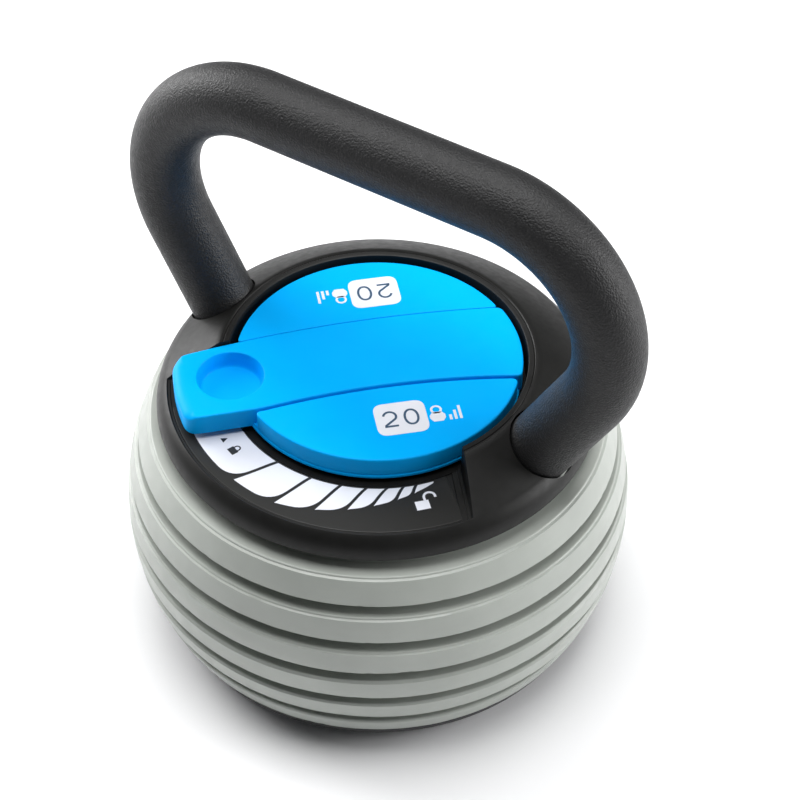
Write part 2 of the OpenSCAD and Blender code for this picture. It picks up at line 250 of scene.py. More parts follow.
class Nodes:
    """Small helper around one procedural material: object coordinates, one Principled shader."""

    def __init__(self, name, color, roughness, metallic=0.0, **shader):
        self.material = bpy.data.materials.new(name)
        self.material.use_nodes = True
        self.tree = self.material.node_tree
        self.shader = self.tree.nodes["Principled BSDF"]
        self.shader.inputs["Base Color"].default_value = (*color, 1)
        self.shader.inputs["Roughness"].default_value = roughness
        self.shader.inputs["Metallic"].default_value = metallic
        for key, value in shader.items():
            self.shader.inputs[key.replace("_", " ")].default_value = value
        self.material.diffuse_color = (*color, 1)
        self.where = self.add("ShaderNodeTexCoord").outputs["Object"]

    def add(self, kind, **values):
        node = self.tree.nodes.new(kind)
        for key, value in values.items():
            setattr(node, key, value)
        return node

    def link(self, a, b):
        self.tree.links.new(a, b)

    def noise(self, size_mm, detail=3.0, rough=0.5, stretch=(1, 1, 1)):
        """Noise with features about size_mm across, 0 to 1."""
        mapping = self.add("ShaderNodeMapping")
        mapping.inputs["Scale"].default_value = [s / (size_mm * MM) for s in stretch]
        self.link(self.where, mapping.inputs["Vector"])
        node = self.add("ShaderNodeTexNoise")
        node.inputs["Scale"].default_value = 1.0
        node.inputs["Detail"].default_value = detail
        node.inputs["Roughness"].default_value = rough
        self.link(mapping.outputs["Vector"], node.inputs["Vector"])
        return node.outputs["Fac"]

    def pebble(self, size_mm):
        mapping = self.add("ShaderNodeMapping")
        mapping.inputs["Scale"].default_value = [1 / (size_mm * MM)] * 3
        self.link(self.where, mapping.inputs["Vector"])
        node = self.add("ShaderNodeTexVoronoi", feature="SMOOTH_F1")
        node.inputs["Scale"].default_value = 1.0
        node.inputs["Smoothness"].default_value = 0.6
        self.link(mapping.outputs["Vector"], node.inputs["Vector"])
        return node.outputs["Distance"]

    def spread(self, value, low, high, to_low, to_high):
        node = self.add("ShaderNodeMapRange")
        for key, x in (("From Min", low), ("From Max", high), ("To Min", to_low), ("To Max", to_high)):
            node.inputs[key].default_value = x
        self.link(value, node.inputs["Value"])
        return node.outputs["Result"]

    def tint(self, value, color_a, color_b):
        node = self.add("ShaderNodeMix", data_type="RGBA")
        node.inputs["A"].default_value = (*color_a, 1)
        node.inputs["B"].default_value = (*color_b, 1)
        self.link(value, node.inputs["Factor"])
        return node.outputs["Result"]

    def color(self, value):
        self.link(value, self.shader.inputs["Base Color"])

    def roughness(self, value):
        self.link(value, self.shader.inputs["Roughness"])

    def bump(self, value, depth_mm, strength=1.0, below=None):
        node = self.add("ShaderNodeBump")
        node.inputs["Strength"].default_value = strength
        node.inputs["Distance"].default_value = depth_mm * MM
        self.link(value, node.inputs["Height"])
        if below is not None:
            self.link(below, node.inputs["Normal"])
        self.link(node.outputs["Normal"], self.shader.inputs["Normal"])
        return node.outputs["Normal"]


def shade(color, factor):
    return tuple(min(1.0, c * factor) for c in color)


def plate_paint():
    color = (0.395, 0.42, 0.387)
    m = Nodes("plate_paint", color, 0.4, Coat_Weight=0.12, Coat_Roughness=0.25)
    cloud = m.noise(28, 4, 0.55, (1, 1, 1.6))
    grain = m.noise(1.3, 2)
    m.color(m.tint(m.spread(cloud, 0.35, 0.65, 0, 1), shade(color, 0.955), shade(color, 1.035)))
    m.roughness(m.spread(m.noise(7, 3), 0.3, 0.7, 0.34, 0.5))
    soft = m.bump(m.noise(9, 3), 0.12, 0.6)
    m.bump(grain, 0.035, 0.5, soft)
    return m.material


def handle_coat():
    color = (0.013, 0.013, 0.0135)
    m = Nodes("handle_coat", color, 0.46, Specular_IOR_Level=0.37)
    pebbles = m.pebble(0.8)
    fine = m.noise(0.55, 2, 0.6)
    m.color(m.tint(m.spread(fine, 0.35, 0.7, 0, 1), shade(color, 0.7), shade(color, 1.55)))
    m.roughness(m.spread(m.noise(2.2, 3), 0.3, 0.7, 0.44, 0.58))
    first = m.bump(fine, 0.22, 0.8)
    m.bump(pebbles, 0.3, 0.7, first)
    return m.material


def cap_plastic():
    color = (0.009, 0.009, 0.0085)
    m = Nodes("cap_plastic", color, 0.38, Specular_IOR_Level=0.22)
    m.color(m.tint(m.spread(m.noise(14, 3), 0.35, 0.65, 0, 1), shade(color, 0.9), shade(color, 1.12)))
    m.roughness(m.spread(m.noise(3, 3), 0.3, 0.7, 0.38, 0.48))
    m.bump(m.noise(0.5, 2), 0.03, 0.35)
    return m.material


def dial_blue():
    color = (0.0, 0.39, 0.92)
    m = Nodes("dial_blue", color, 0.42, Specular_IOR_Level=0.05)
    m.color(m.tint(m.spread(m.noise(22, 3), 0.35, 0.65, 0, 1), (0.0, 0.38, 0.91), (0.0, 0.40, 0.93)))
    m.roughness(m.spread(m.noise(4, 3), 0.3, 0.7, 0.32, 0.42))
    m.bump(m.noise(0.6, 2), 0.02, 0.3)
    return m.material


def print_ink(name, color, roughness, sheen=0.5):
    m = Nodes(name, color, roughness, Specular_IOR_Level=sheen)
    m.color(m.tint(m.noise(9, 2), shade(color, 0.96), shade(color, 1.03)))
    m.bump(m.noise(0.8, 2), 0.008, 0.3)
    return m.material


def steel(name, color, roughness):
    m = Nodes(name, color, roughness, metallic=0.95)
    m.roughness(m.spread(m.noise(1.2, 3, 0.6, (1, 1, 6)), 0.3, 0.7, roughness - 0.08, roughness + 0.1))
    m.color(m.tint(m.noise(8, 3), shade(color, 0.9), shade(color, 1.1)))
    m.bump(m.noise(0.5, 2, 0.5, (1, 1, 8)), 0.01, 0.3)
    return m.material


def base_black():
    color = (0.02, 0.02, 0.021)
    m = Nodes("base_black", color, 0.5)
    m.color(m.tint(m.noise(12, 3), shade(color, 0.8), shade(color, 1.3)))
    m.bump(m.noise(1.6, 3), 0.08, 0.4)
    return m.material


def foot_rubber():
    color = (0.015, 0.015, 0.015)
    m = Nodes("foot_rubber", color, 0.8)
    m.color(m.tint(m.noise(5, 3), shade(color, 0.8), shade(color, 1.4)))
    m.bump(m.noise(0.7, 3), 0.05, 0.5)
    return m.material


PAINT = plate_paint()
COAT = handle_coat()
CAP = cap_plastic()
BLUE = dial_blue()
WHITE = print_ink("print_white", (0.72, 0.74, 0.80), 0.35, 0.3)
BLACK = print_ink("print_black", (0.008, 0.008, 0.009), 0.4)
DARK = print_ink("label_ground", (0.014, 0.014, 0.013), 0.38, 0.3)
DIGIT = print_ink("print_slate", (0.03, 0.075, 0.14), 0.4)
STEEL = steel("machined_steel", (0.50, 0.51, 0.52), 0.34)
SPRING = steel("spring_steel", (0.36, 0.37, 0.38), 0.28)
IRON = base_black()
RUBBER = foot_rubber()
ACETAL = print_ink("acetal", (0.74, 0.73, 0.69), 0.45)


# ---------------------------------------------------------------- plates

def ball_radius(z):
    return math.sqrt(BODY_R ** 2 - (z - BODY_MID_Z) ** 2)


PITCH = STACK_TOP - height("plate_1", 0)
RIM_H = 10.8
GROOVE = 5.4


def plate_profile(z0):
    """A dished casting: hub, web, stepped wall and rim, with rounded edges where the paint shows."""
    web_top = PITCH - 0.3
    lower = ball_radius(z0)
    upper = ball_radius(z0 + RIM_H) - 0.5
    land = upper - GROOVE
    edge = 0.85
    deep = land - 3.0
    side = [(z0 + 0.55 + (RIM_H - edge - 0.75) * i / 8) for i in range(9)]
    points = [(10.2, z0), (28, z0), (28.6, z0 + web_top - 3), (deep - 4, z0 + web_top - 3)]
    points += [(deep - 4, z0 + RIM_H - 4), (ball_radius(z0 + RIM_H - 4) - 5, z0 + RIM_H - 4)]
    points += [(lower - 5, z0 + 0.1), (lower - 0.5, z0), (lower - 0.2, z0 + 0.07), (lower - 0.04, z0 + 0.24)]
    points += [(ball_radius(z), z) for z in side]
    points += arc(upper - edge, z0 + RIM_H - edge, edge, 10, 90, 5)
    points += [(deep + 0.5, z0 + RIM_H), (deep + 0.15, z0 + RIM_H + 0.15), (deep, z0 + RIM_H + 0.5)]
    points += [(deep, z0 + web_top - 0.6), (deep - 0.2, z0 + web_top - 0.15), (deep - 0.7, z0 + web_top)]
    rest = z0 + PITCH - 0.03  # the next plate rests here, with a paint film between
    points += [(28, z0 + web_top), (27.5, rest), (10.8, rest), (10.2, z0 + PITCH - 0.6)]
    return supported(points)


def casting_wear(z0, seed):
    """Slow waviness of a cast rim, and small nicks along its lower edge."""
    dice = random.Random(seed)
    nicks = [(dice.uniform(0, 2 * math.pi), dice.uniform(0.08, 0.3), dice.uniform(0.006, 0.012),
              dice.random() < 0.6) for _ in range(16)]

    def shift(i, r, z, a):
        if r < 70:
            return 0, 0
        wave = noise.noise(Vector((3.0 * math.cos(a), 3.0 * math.sin(a), seed * 2.3 + z * 0.02)))
        ripple = noise.noise(Vector((17 * math.cos(a), 17 * math.sin(a), seed * 5.1 + z * 0.12)))
        dr = 0.16 * wave + 0.07 * ripple
        low, high = z - z0 < 1.0, abs(z - z0 - RIM_H) < 1.2
        for where, deep, wide, at_low in nicks:
            if (at_low and low) or (not at_low and high):
                gap = abs((a - where + math.pi) % (2 * math.pi) - math.pi)
                dr -= deep * math.exp(-(gap / wide) ** 2)
        return min(dr, 0.3), 0

    return shift


def make_plates():
    for k in range(1, PLATE_COUNT + 1):
        node = f"plate_{k}"
        z0 = height(node, 0)
        verts, faces = lathe(plate_profile(z0), 360, casting_wear(z0, k))
        add_piece(f"weight_plate_{k}", verts, faces, PAINT, node, [node], 40)


# ---------------------------------------------------------------- handle

TUBE_R = 14.0
TUBE_WALL = 2.0
GRIP_Z = height("handle_tube", 1) - TUBE_R
BEND_R = 51.25
FOOT_X, FOOT_Z, CORNER_X = 76.2, 124.4, 136.3


def handle_line():
    """Half of the handle's centreline, from the grip's middle to below the cap, with its tangents."""
    lean = math.atan((CORNER_X - FOOT_X) / (GRIP_Z - FOOT_Z))
    start = BEND_R * math.tan((math.pi / 2 + lean) / 2)
    cx, cz = CORNER_X - start, GRIP_Z - BEND_R
    line = [((cx * i / 24, GRIP_Z), (1, 0)) for i in range(24)]
    turns = 60
    for i in range(turns + 1):
        a = math.pi / 2 - (math.pi / 2 + lean) * i / turns
        line.append(((cx + BEND_R * math.cos(a), cz + BEND_R * math.sin(a)), (math.sin(a), -math.cos(a))))
    (x, z), (tx, tz) = line[-1]
    length = (z - CAP_PLATE_TOP) / -tz
    legs = 34
    line += [((x + tx * length * i / legs, z + tz * length * i / legs), (tx, tz)) for i in range(1, legs + 1)]
    return line


def make_handle():
    half = handle_line()
    line = [((-x, z), (tx, -tz)) for (x, z), (tx, tz) in half[:0:-1]] + half
    sides = 72
    verts = []
    for radius in (TUBE_R, TUBE_R - TUBE_WALL):
        for index, ((x, z), (tx, tz)) in enumerate(line):
            for j in range(sides):
                a = 2 * math.pi * j / sides
                out, across = radius * math.cos(a), radius * math.sin(a)
                vx, vy, vz = x - tz * out, across, z + tx * out
                if index in (0, len(line) - 1):
                    slide = (CAP_PLATE_TOP - vz) / tz
                    vx, vz = vx + tx * slide, vz + tz * slide
                verts.append((vx, vy, vz))
    outer = grid(len(line), sides, False, True)
    inner = [list(reversed(f)) for f in grid(len(line), sides, False, True, len(line) * sides)]
    rims = []
    for row, flip in ((0, True), (len(line) - 1, False)):
        for j in range(sides):
            a, b = row * sides + j, row * sides + (j + 1) % sides
            quad = [a, b, b + len(line) * sides, a + len(line) * sides]
            rims.append(quad if not flip else quad[::-1])
    add_piece("handle_bar", verts, outer + inner + rims, COAT, "handle", ["handle_tube"], 50)


# ---------------------------------------------------------------- cap

SHOULDER_R = 11.0
SHOULDER_Z = CAP_LOW + 1.0
DOME_ANGLE = 58.8
LEDGE_Z = FLOOR_Z + 0.4
END_A, END_B = (55.8, -25.7), (72.4, -44.7)      # the recess's end wall in plan
LOCK_GAP = 0.7


def far_edge(u):
    return 22.5 - (u - 5) ** 2 / 940


def near_edge(u):
    return -16 - u ** 2 / 600 if u > -50 else -20.17 + 0.03 * (u + 50)


def line_angle(a, b, inside, r, d):
    """Angle at which a circle of radius r about the origin meets the line a-b, moved d inwards."""
    nx, ny = b[1] - a[1], a[0] - b[0]
    length = math.hypot(nx, ny)
    nx, ny = nx / length, ny / length
    if (inside[0] - a[0]) * nx + (inside[1] - a[1]) * ny < 0:
        nx, ny = -nx, -ny
    offset = a[0] * nx + a[1] * ny + d
    spread = math.acos(max(-1, min(1, offset / r)))
    normal = math.atan2(ny, nx)
    return normal - spread, normal + spread


def end_angle(r, d):
    """Angle of the recess's end wall at radius r, d inside the recess; between -90 and 0 degrees."""
    lo, hi = line_angle(END_A, END_B, (0, -75), r, d)
    return max(math.remainder(lo, 2 * math.pi), math.remainder(hi, 2 * math.pi),
               key=lambda a: -abs(a + math.radians(28)))


def lock_angle(r, d):
    """Angle of the recess's lock side, which follows the lever's far edge, from 180 to 230 degrees."""
    u = -math.sqrt(max(r * r - 300, 1))
    for _ in range(4):
        v = far_edge(u) + LOCK_GAP - d
        u = -math.sqrt(max(r * r - v * v, 1))
    return math.atan2(far_edge(u) + LOCK_GAP - d, u) % (2 * math.pi) + LEVER_TURN


def cap_rows():
    """The cap's outer section as (r, z), from the hole in the well's floor to the lower edge."""
    cx = CAP_R - SHOULDER_R
    rows = [(HUB_HOLE_R, FLOOR_Z), (40, FLOOR_Z), (55, FLOOR_Z), (59, FLOOR_Z)]
    rows += [(59.7, FLOOR_Z + 0.1), (60.1, FLOOR_Z + 0.5)]
    rows += [(WELL_R, FLOOR_Z + 1.4), (WELL_R, CAP_LIP - 2.6), (WELL_R, CAP_LIP - 0.7)]
    rows += [(WELL_R + 0.1, CAP_LIP - 0.4)]
    rows += [(WELL_R + 0.35, CAP_LIP - 0.25), (WELL_R + 0.6, CAP_LIP - 0.2), (LIP_R - 1.9, CAP_LIP - 0.05)]
    rows += [(LIP_R - 1.7, CAP_LIP - 0.2), (LIP_R - 1.5, CAP_LIP - 0.38), (LIP_R - 1.3, CAP_LIP - 0.2)]
    rows += [(LIP_R - 1.1, CAP_LIP), (LIP_R - 0.5, CAP_LIP), (LIP_R, CAP_LIP - 0.08)]
    dome_end = (cx + SHOULDER_R * math.cos(math.radians(DOME_ANGLE)),
                SHOULDER_Z + SHOULDER_R * math.sin(math.radians(DOME_ANGLE)))
    start = rows[-1]
    edge = [-2.1, -1.85, -1.8, -1.7, -1.6, -1.5, -1.4, -1.1, -0.8, -0.7]
    edge += [-0.6, -0.45, -0.3, -0.15, -0.05, 0, 0.1, 0.25, 0.5]
    radii = [66 + 1.5 * i for i in range(11)] + [82.2] + [RECESS_R + x for x in edge]
    for r in radii:
        if r < dome_end[0]:
            z = start[1] + (dome_end[1] - start[1]) * (r - start[0]) / (dome_end[0] - start[0])
            z += 0.5 * math.sin(math.pi * (r - start[0]) / (dome_end[0] - start[0]))
        else:
            z = SHOULDER_Z + math.sqrt(SHOULDER_R ** 2 - (r - cx) ** 2)
        rows.append((r, z))
    last = math.degrees(math.acos((radii[-1] - cx) / SHOULDER_R))
    rows += arc(cx, SHOULDER_Z, SHOULDER_R, last * 0.92, 0, 10)
    rows += [(CAP_R, CAP_LOW + 0.5), (CAP_R - 0.15, CAP_LOW + 0.15)]
    rows += [(CAP_R - 0.5, CAP_LOW), (CAP_R - SKIRT_T, CAP_LOW)]
    return rows


WALL_RUN = 0.7                            # how far the recess's walls run out from top to bottom


def wall_share(t):
    """Height along a wall with a rounded top edge and a rounded foot, 1 at its top and 0 at its foot."""
    return 1 - 0.1 * (t / 0.27) ** 2 if t < 0.27 else 0.9 * (1 - (t - 0.27) / 0.73) ** 1.15


def recess_level(d, ledge):
    """Height of the recess at d inside its wall, with a ledge that wide; a wide ledge has two steps."""
    if d < ledge - 2.2:
        return LEDGE_Z + 0.5
    if d < ledge:
        return LEDGE_Z
    return FLOOR_Z if d >= ledge + 0.3 else FLOOR_Z + (LEDGE_Z - FLOOR_Z) * (ledge + 0.3 - d) / 0.3


def sunk(z, r, d_end, d_lock):
    """The cap's surface after the recess is sunk into it."""
    level = FLOOR_Z
    for d, ledge in ((RECESS_R - r, 1.5), (d_end, 4.2), (d_lock, 0.7)):
        if d <= 0:
            return z
        if d < WALL_RUN:
            level = max(level, LEDGE_Z + (z - LEDGE_Z) * wall_share(d / WALL_RUN))
        else:
            level = max(level, recess_level(d, ledge))
    return min(z, level)


def make_cap():
    top = cap_rows()
    end_lines = [-0.6, -0.3, -0.12, 0, 0.1, 0.2, 0.35, 0.5, 0.6, 0.7, 0.9, 1.5, 1.9]
    end_lines += [2.0, 2.1, 2.4, 3.2, 4.0, 4.2, 4.3, 4.4, 4.5, 4.7, 5.2, 6.0]
    lock_lines = [-0.6, -0.3, -0.12, 0, 0.1, 0.2, 0.35, 0.5, 0.6, 0.7, 0.9, 1.2]
    around, across = 216, 64
    rows = []
    for r, z in top:
        rr = max(r, WELL_R)
        a_end = end_angle(rr, -0.6)
        a_lock = lock_angle(rr, -0.6)
        ring = []
        for i in range(1, around):
            ring.append((a_end + (a_lock - a_end) * i / around, -1, -1))
        ring += [(lock_angle(rr, d), 99, d) for d in lock_lines]
        a0, a1 = lock_angle(rr, lock_lines[-1]), end_angle(rr, end_lines[-1]) + 2 * math.pi
        ring += [(a0 + (a1 - a0) * i / across, 99, 99) for i in range(1, across)]
        ring += [(end_angle(rr, d) + 2 * math.pi, d, 99) for d in reversed(end_lines)]
        inside_well = r <= WELL_R - 0.05
        rows.append([(r * math.cos(a), r * math.sin(a), z if inside_well else sunk(z, r, de, dl))
                     for a, de, dl in ring])
    cols = len(rows[0])
    # the underside: skirt, dome and floor, in round rings
    under = [(CAP_R - SKIRT_T, SHOULDER_Z), (CAP_R - SKIRT_T - 1, SHOULDER_Z + 3)]
    under += [(82.5, FLOOR_Z - FLOOR_T), (HUB_HOLE_R, FLOOR_Z - FLOOR_T)]
    for r, z in under:
        angles = [math.atan2(y, x) for x, y, _ in rows[-1]]
        rows.append([(r * math.cos(a), r * math.sin(a), z) for a in angles])
    verts = [p for row in rows for p in row]
    faces = [list(reversed(f)) for f in grid(len(rows), cols, True, True)]
    cap = add_piece("cap_cover", verts, faces, CAP, "handle", ["cap_shell"], 28)
    cut_leg_holes(cap)
    return cap


def cut_leg_holes(cap):
    """The legs pass through the cap with a thin gap all round."""
    lean = math.atan((CORNER_X - FOOT_X) / (GRIP_Z - FOOT_Z))
    for side in (1, -1):
        bpy.ops.mesh.primitive_cylinder_add(vertices=128, radius=(TUBE_R + 0.85) * MM, depth=0.08)
        drill = bpy.context.active_object
        drill.location = (side * FOOT_X * MM, 0, FOOT_Z * MM)
        drill.rotation_euler = (0, side * lean, 0)
        bpy.context.view_layer.update()
        cut = cap.modifiers.new("leg_hole", "BOOLEAN")
        cut.operation = "DIFFERENCE"
        cut.solver = "EXACT"
        cut.object = drill
        bpy.context.view_layer.objects.active = cap
        cap.select_set(True)
        bpy.ops.object.modifier_apply(modifier=cut.name)
        bpy.data.objects.remove(drill)
    cap.data.set_sharp_from_angle(angle=math.radians(28))


# ---------------------------------------------------------------- scale label

CELL_OUTER = 78.8
CELL_START = 229                          # where the first cell begins, under the lever
CELL_INNER = 61.0
CELL_COUNT = 8
TAPER_START, TAPER_END = 271.4, 323.9


def cell_outer(degrees):
    """The scale's outer edge: level at first, then running in to a point."""
    t = max(0.0, min(1.0, (degrees - TAPER_START) / (TAPER_END - TAPER_START)))
    return CELL_OUTER - 17.3 * t ** 1.18


def divider(i, t):
    """Point at share t, from the inner edge to the outer one, of the slanted line after cell i."""
    inner = 263.1 + 73.0 * (1 - 0.8 ** i)
    slant = 5.4 * min(1, ((cell_outer(inner - 5) - CELL_INNER) / 9.3) ** 1.6)
    angle = inner - slant * t ** 0.85
    return CELL_INNER + (cell_outer(angle) - CELL_INNER) * t, angle


def cell_outline(i, grow=0.0):
    """Plan of cell i of the scale: slanted sides, and a round corner outside on its open side."""
    gap = 0.75 - grow
    steps = 8

    def side(j, shift):
        points = []
        for k in range(steps + 1):
            r, angle = divider(j, k / steps)
            points.append(polar(r, angle + math.degrees(shift / r)))
        return points

    if i:
        left = side(i - 1, gap)
    else:
        left = [polar(CELL_INNER + (CELL_OUTER - CELL_INNER) * k / steps, CELL_START)
                for k in range(steps + 1)]
    if i == CELL_COUNT - 1:
        right = [polar(CELL_INNER + 0.2, TAPER_END - 0.2)]
        last = TAPER_END
    else:
        right = side(i, -gap)
        last = divider(i, 1)[1] - math.degrees(gap / 75)
    first = divider(i - 1, 1)[1] + math.degrees(gap / 75) if i else CELL_START
    begin = divider(i - 1, 0)[1] if i else CELL_START
    finish = divider(i, 0)[1] if i < CELL_COUNT - 1 else TAPER_END
    inner = [polar(CELL_INNER - grow, begin + (finish - begin) * k / 10) for k in range(1, 10)]
    turns = [first + (last - first) * k / 10 for k in range(9, 0, -1)]
    outer = [polar(cell_outer(turn) + grow, turn) for turn in turns]
    outline = inner + right + outer + left[::-1]
    if i < CELL_COUNT - 1:
        reach = 0.42 * (cell_outer(last) - CELL_INNER)
        outline = round_at(outline, right[-1], reach)
    return outline


def stroke(points, width, closed=False):
    """A line of even width along plan points."""
    n = len(points)
    left, right = [], []
    for i, p in enumerate(points):
        before = points[i - 1] if (closed or i) else p
        after = points[(i + 1) % n] if (closed or i < n - 1) else p
        d = (Vector(after) - Vector(before)).normalized() * width / 2
        left.append((p[0] - d.y, p[1] + d.x))
        right.append((p[0] + d.y, p[1] - d.x))
    return left, right


def flat_shape(outline, z, thickness=0.05, start=0):
    """A printed shape: a thin plate over an outline."""
    points = outline if area(outline) > 0 else outline[::-1]
    n = len(points)
    verts = [(x, y, z) for x, y in points] + [(x, y, z + thickness) for x, y in points]
    faces = grid(2, n, False, True, start)
    faces.append([start + i for i in range(n - 1, -1, -1)])
    faces.append([start + n + i for i in range(n)])
    return verts, faces


def flat_band(left, right, z, thickness=0.05, closed=False, start=0):
    """A printed line between two rows of plan points."""
    n = len(left)
    verts = [(x, y, z) for x, y in left] + [(x, y, z) for x, y in right]
    verts += [(x, y, z + thickness) for x, y in left] + [(x, y, z + thickness) for x, y in right]
    faces = []
    for i in range(n if closed else n - 1):
        j = (i + 1) % n
        faces.append([start + 2 * n + i, start + 3 * n + i, start + 3 * n + j, start + 2 * n + j])
        faces.append([start + i, start + j, start + n + j, start + n + i])
        faces.append([start + i, start + 2 * n + i, start + 2 * n + j, start + j])
        faces.append([start + n + i, start + n + j, start + 3 * n + j, start + 3 * n + i])
    if not closed:
        for i, flip in ((0, False), (n - 1, True)):
            quad = [start + i, start + n + i, start + 3 * n + i, start + 2 * n + i]
            faces.append(quad[::-1] if flip else quad)
    return verts, faces


class Print:
    """Gathers printed shapes of one ink into one piece. place turns and moves a glyph's own points."""

    def __init__(self, z, place=lambda p: p):
        self.z, self.place = z, place
        self.verts, self.faces = [], []

    def shape(self, outline, thickness=0.05):
        verts, faces = flat_shape([self.place(p) for p in outline], self.z, thickness, len(self.verts))
        self.verts += verts
        self.faces += faces

    def line(self, points, width, closed=False, thickness=0.05):
        left, right = stroke([self.place(p) for p in points], width, closed)
        verts, faces = flat_band(left, right, self.z, thickness, closed, len(self.verts))
        self.verts += verts
        self.faces += faces

    def piece(self, name, ink, body, slot):
        return add_piece(name, self.verts, self.faces, ink, body, smooth=20)


def glyph_place(r, degrees):
    """Places a glyph's points on the scale at radius r, reading anticlockwise, its top towards the middle."""
    a = math.radians(degrees)
    centre, along, up = polar(r, degrees), (-math.sin(a), math.cos(a)), (-math.cos(a), -math.sin(a))
    return lambda p: (centre[0] + p[0] * along[0] + p[1] * up[0], centre[1] + p[0] * along[1] + p[1] * up[1])


def make_label():
    steps = 40
    lock, end = math.degrees(lock_angle(72, 1.0)), math.degrees(end_angle(72, 5.0)) + 360
    outer = [polar(RECESS_R - 1.9, lock + 14 + (end - 1 - lock - 14) * i / steps) for i in range(steps + 1)]
    inner = [polar(59.6, lock + 14 + (end + 1.6 - lock - 14) * i / steps) for i in range(steps, -1, -1)]
    ground = outer + inner
    ground = round_at(ground, outer[-1], 2.0)
    verts, faces, _ = prism(ground, FLOOR_Z + 0.02, LABEL_TOP - 0.1, 0.1, low_edge=0.02, steps=2)
    add_piece("scale_sheet", verts, faces, DARK, "handle", ["scale_label"], 30)
    rim, cells = Print(LABEL_TOP - 0.1), Print(LABEL_TOP - 0.05)
    for i in range(CELL_COUNT):
        rim.shape(cell_outline(i, 0.5))
        cells.shape(cell_outline(i))
    place = glyph_place(71.2, 316.9)
    body = [(-2.7, -2.6), (2.7, -2.6), (2.7, 1.9), (-2.7, 1.9)]
    shackle = [(1.4, 1.8), (1.4, 3.2)] + arc(3.6, 3.4, 2.2, 170, 10, 8) + [(5.8, 2.7)]
    rim.place, cells.place = place, place
    rim.shape([(x * 1.22, (y + 0.3) * 1.25 - 0.3) for x, y in body])
    rim.line(shackle, 2.0)
    cells.shape(body)
    cells.line(shackle, 0.95)
    rim.piece("scale_outline", BLACK, "handle", "label")
    cells.piece("scale_cells", WHITE, "handle", "label")
    marks = Print(LABEL_TOP, glyph_place(69.4, 242.8))
    marks.shape([(-1.3, -1.1), (1.3, -1.1), (0, 1.5)])
    marks.place = glyph_place(69.2, 248.6)
    marks.shape([(-1.9, -1.9), (1.9, -1.9), (1.9, 1.0), (-1.9, 1.0)])
    marks.line([(-1.15, 0.9), (-1.15, 1.6)] + arc(0, 1.7, 1.15, 180, 0, 8) + [(1.15, 0.9)], 0.6)
    marks.piece("scale_marks", BLACK, "handle", "label")


# ---------------------------------------------------------------- dial

LEVER_BOTTOM = FLOOR_Z + 2.7


def lever_outline():
    u_near = [-79 + 133.0 * i / 30 for i in range(31)]

    def within(edge, along):
        """The points of an edge that lie inside the lever's two round ends."""
        points = [(u, edge(u)) for u in along]
        return [p for p in points if math.hypot(*p) < (LEVER_R if p[0] < 0 else TAIL_R)]

    near, far = within(near_edge, u_near), within(far_edge, reversed(u_near))

    def crossing(edge, radius, sign):
        u = sign * math.sqrt(radius ** 2 - 400)
        for _ in range(5):
            u = sign * math.sqrt(radius ** 2 - edge(u) ** 2)
        return u, edge(u)

    a, b = crossing(near_edge, TAIL_R, 1), crossing(far_edge, TAIL_R, 1)
    c, d = crossing(far_edge, LEVER_R, -1), crossing(near_edge, LEVER_R, -1)
    right = arc(0, 0, TAIL_R, math.degrees(math.atan2(a[1], a[0])), math.degrees(math.atan2(b[1], b[0])), 16)
    left = arc(0, 0, LEVER_R, math.degrees(math.atan2(c[1], c[0])),
               math.degrees(math.atan2(d[1], d[0])) + 360, 20)
    outline = near + right + far + left
    for corner, reach in ((a, 2.2), (b, 2.2), (c, 6.5), (d, 5.0)):
        outline = round_at(outline, corner, reach)
    return outline


def moon_outline(side):
    """Plan of the half-moon beside the lever: -1 is the near one, +1 the far one."""
    gap = 1.3 if side < 0 else 0.2
    radius = DIAL_R

    def edge(u):
        return near_edge(max(u, -49)) - gap if side < 0 else far_edge(u) + gap

    def crossing(sign):
        u = sign * math.sqrt(radius ** 2 - 500)
        for _ in range(6):
            u = sign * math.sqrt(radius ** 2 - edge(u) ** 2)
        return u, edge(u)

    a, b = crossing(-1), crossing(1)
    chord = [(a[0] + (b[0] - a[0]) * i / 24, edge(a[0] + (b[0] - a[0]) * i / 24)) for i in range(1, 24)]
    a0, b0 = math.degrees(math.atan2(a[1], a[0])), math.degrees(math.atan2(b[1], b[0]))
    if side < 0:
        a0 += 360 if a0 < 0 else 0
        b0 += 360
    rim = arc(0, 0, radius, b0, a0, 48)
    outline = chord + rim
    for corner in (a, b):
        outline = round_at(outline, corner, 3.2 if side < 0 else 2.0)
    return outline


